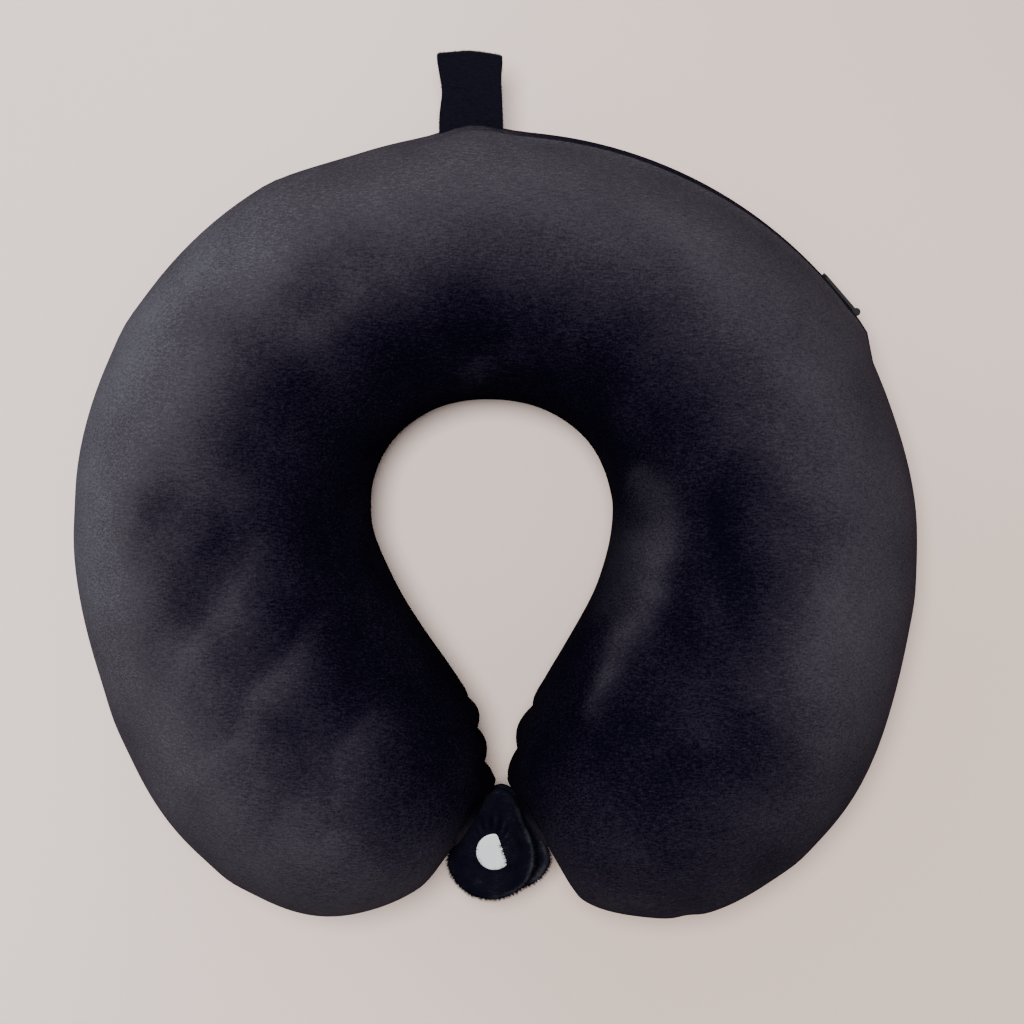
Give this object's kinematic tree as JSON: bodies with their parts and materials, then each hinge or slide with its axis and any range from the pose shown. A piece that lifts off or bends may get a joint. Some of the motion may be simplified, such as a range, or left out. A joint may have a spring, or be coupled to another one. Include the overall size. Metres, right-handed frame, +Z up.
{
  "type": "u shaped neck pillow",
  "caption": "U-shaped travel neck pillow: foam core in a zipped velour cover, with two snap tabs closing the arms and a hanging loop at the back.",
  "frame": {"origin": "middle of the footprint's box, on the surface that the pillow lies on", "axes": "+Z up through the pillow's thickness, +Y towards the closed back and its hanging loop, +X towards the arm that carries the rear tab"},
  "size_m": [0.3, 0.308, 0.1164],
  "materials": {
    "velour": "matte",
    "strap_velour": "matte",
    "foam": "matte",
    "liner_knit": "matte",
    "stiffener": "matte",
    "zip_tape": "matte",
    "zip_teeth": "satin",
    "zip_metal": "satin",
    "snap_plastic": "satin"
  },
  "bodies": {
    "root": {"foam_core_back": "foam", "inner_liner": "liner_knit", "cover_top_panel": "velour", "cover_bottom_panel": "velour", "zip_tape_upper": "zip_tape", "zip_tape_lower": "zip_tape", "zip_teeth_upper": "zip_teeth", "zip_teeth_lower": "zip_teeth", "zip_top_stops": "zip_metal", "zip_bottom_stop": "zip_metal"},
    "right_arm": {"foam_core_right_arm": "foam"},
    "left_arm": {"foam_core_left_arm": "foam"},
    "front_tab": {"front_tab_under_ply": "velour", "front_tab_stiffener": "stiffener", "front_tab_upper_ply": "velour", "snap_cap_front": "snap_plastic", "snap_socket": "snap_plastic"},
    "rear_tab": {"rear_tab_under_ply": "velour", "rear_tab_stiffener": "stiffener", "rear_tab_upper_ply": "velour", "snap_stud": "snap_plastic", "snap_cap_rear": "snap_plastic"},
    "loop": {"hanging_loop": "strap_velour"},
    "slider": {"zip_slider": "zip_metal"},
    "pull": {"zip_pull": "zip_metal"}
  },
  "joints": [
    {"name": "right_arm_flex", "type": "hinge", "parent": "root", "child": "right_arm", "pos_m": [0.096, 0.004, 0.052], "axis": [0, 0, 1], "range_deg": [0, 20], "stiffness_Nm_per_rad": 3, "deforming": ["cover_top_panel", "cover_bottom_panel", "inner_liner"]},
    {"name": "left_arm_flex", "type": "hinge", "parent": "root", "child": "left_arm", "pos_m": [-0.096, 0.004, 0.052], "axis": [0, 0, -1], "range_deg": [0, 20], "stiffness_Nm_per_rad": 3, "deforming": ["cover_top_panel", "cover_bottom_panel", "inner_liner"]},
    {"name": "front_tab_lift", "type": "hinge", "parent": "left_arm", "child": "front_tab", "pos_m": [0, -0.1105, 0.0524], "axis": [-1, 0, 0], "range_deg": [-3, 45], "stiffness_Nm_per_rad": 0.01},
    {"name": "rear_tab_drop", "type": "hinge", "parent": "right_arm", "child": "rear_tab", "pos_m": [0, -0.1105, 0.0424], "axis": [1, 0, 0], "range_deg": [0, 45], "stiffness_Nm_per_rad": 0.01},
    {"name": "loop_swing", "type": "hinge", "parent": "root", "child": "loop", "pos_m": [-0.0046, 0.1294, 0.057], "axis": [1, 0, 0], "range_deg": [-65, 65], "stiffness_Nm_per_rad": 0.01},
    {"name": "zip_travel", "type": "hinge", "parent": "root", "child": "slider", "pos_m": [0, -0.0311, 0.044], "axis": [0, 0, 1], "range_deg": [0, 78], "deforming": ["zip_teeth_upper", "zip_teeth_lower"]},
    {"name": "pull_swing", "type": "hinge", "parent": "slider", "child": "pull", "pos_m": [0.13202, 0.0593, 0.044], "axis": [0, 0, -1], "range_deg": [0, 150]}
  ]
}
